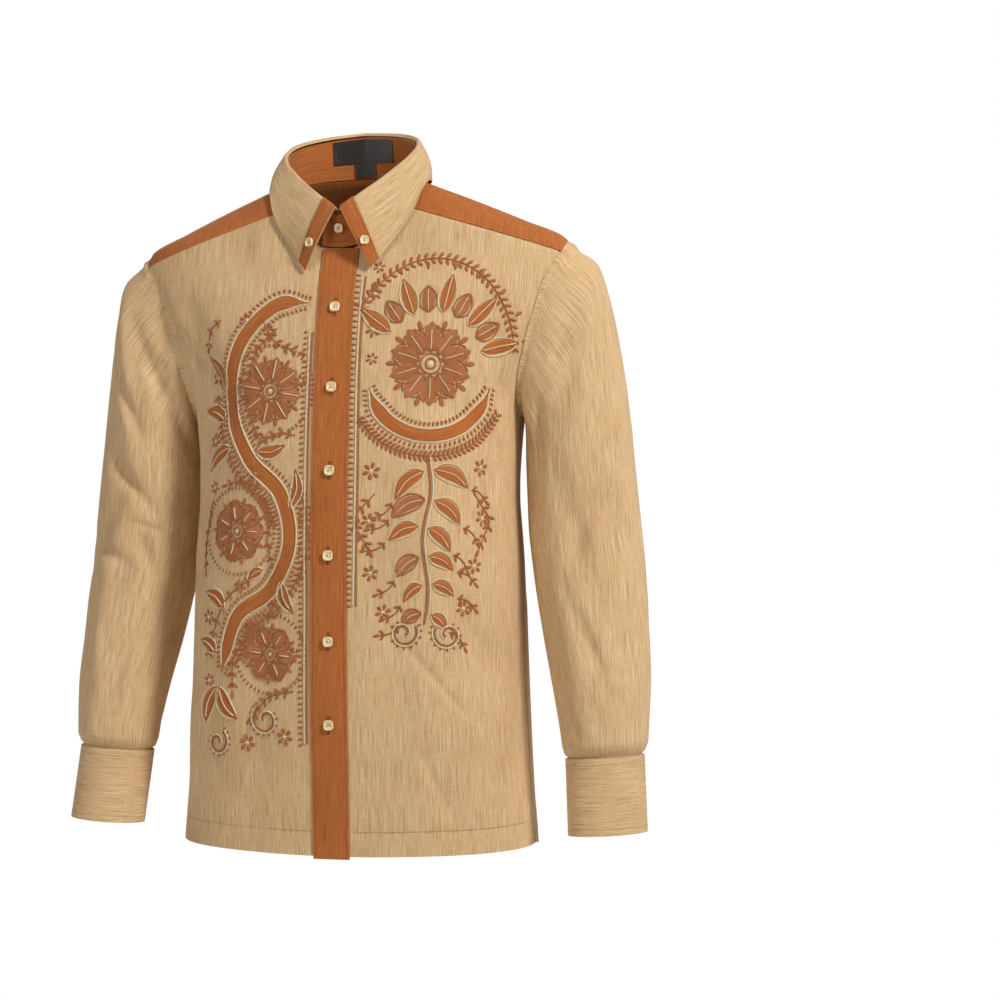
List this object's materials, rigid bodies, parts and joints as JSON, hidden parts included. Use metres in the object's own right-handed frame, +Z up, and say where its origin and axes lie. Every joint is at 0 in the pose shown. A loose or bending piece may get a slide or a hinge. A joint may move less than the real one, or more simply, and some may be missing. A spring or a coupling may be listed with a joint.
{
  "type": "long-sleeved linen shirt",
  "caption": "Long-sleeved natural linen shirt with rust yoke, button band and collar edges, turned-down pointed collar, barrel cuffs and side vents, filled out as if worn",
  "frame": {"origin": "middle of the wearer's neck, at the height of the sides of the neck", "axes": "+Z up, -Y the front of the shirt, +X the wearer's left"},
  "size_m": [0.6656, 0.2467, 0.8135],
  "materials": {
    "linen": "slub linen, matt",
    "rust_linen": "dyed linen, matt",
    "label": "woven satin, bare",
    "button": "polished, cream-gold",
    "cuff_button": "polished, amber"
  },
  "bodies": {
    "root": {"front_left": "linen", "front_right": "linen", "back": "linen", "sleeve_left": "linen", "sleeve_right": "linen", "cuff_left": "linen", "cuff_right": "linen", "sleeve_band_left": "linen", "sleeve_band_right": "linen", "collar_fall": "linen", "yoke": "rust_linen", "button_band": "rust_linen", "collar_stand": "rust_linen", "collar_edge_left": "rust_linen", "collar_edge_right": "rust_linen", "neck_label": "label", "size_tab": "label", "button_front_1": "button", "button_front_2": "button", "button_front_3": "button", "button_front_4": "button", "button_front_5": "button", "button_front_6": "button", "button_stand": "button", "button_collar_left": "button", "button_collar_right": "button", "button_cuff_left_1": "cuff_button", "button_cuff_left_2": "cuff_button", "button_cuff_right_1": "cuff_button", "button_cuff_right_2": "cuff_button", "button_slit_left": "cuff_button", "button_slit_right": "cuff_button"}
  },
  "joints": []
}
